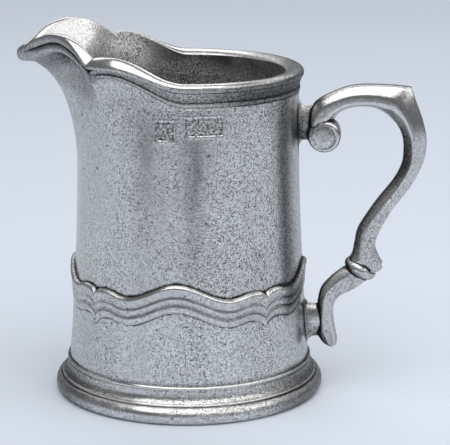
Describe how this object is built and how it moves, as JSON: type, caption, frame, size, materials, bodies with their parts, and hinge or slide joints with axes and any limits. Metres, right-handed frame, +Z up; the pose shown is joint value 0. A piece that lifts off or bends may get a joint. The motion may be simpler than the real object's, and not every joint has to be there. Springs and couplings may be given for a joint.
{
  "type": "creamer",
  "caption": "Small cast pewter creamer with a flared drum, moulded foot, scalloped belt, beaked spout and a double-scroll handle, for pouring milk or cream.",
  "frame": {"origin": "centre of the foot ring's resting face, on the table", "axes": "+Z up, the spout points along -X and the handle along +X"},
  "size_m": [0.1082, 0.072, 0.0981],
  "materials": {
    "cast_pewter": "worn satin, pitted, dark in the recesses",
    "solder": "dull"
  },
  "bodies": {
    "root": {"drum_wall": "cast_pewter", "base_disc": "cast_pewter", "foot_ring": "cast_pewter", "floor_solder": "solder", "belt": "cast_pewter", "rim_band": "cast_pewter", "spout": "cast_pewter", "upper_strut": "cast_pewter", "lower_strut": "cast_pewter", "handle_grip": "cast_pewter", "handle_collar": "cast_pewter", "handle_tail": "cast_pewter"}
  },
  "joints": []
}
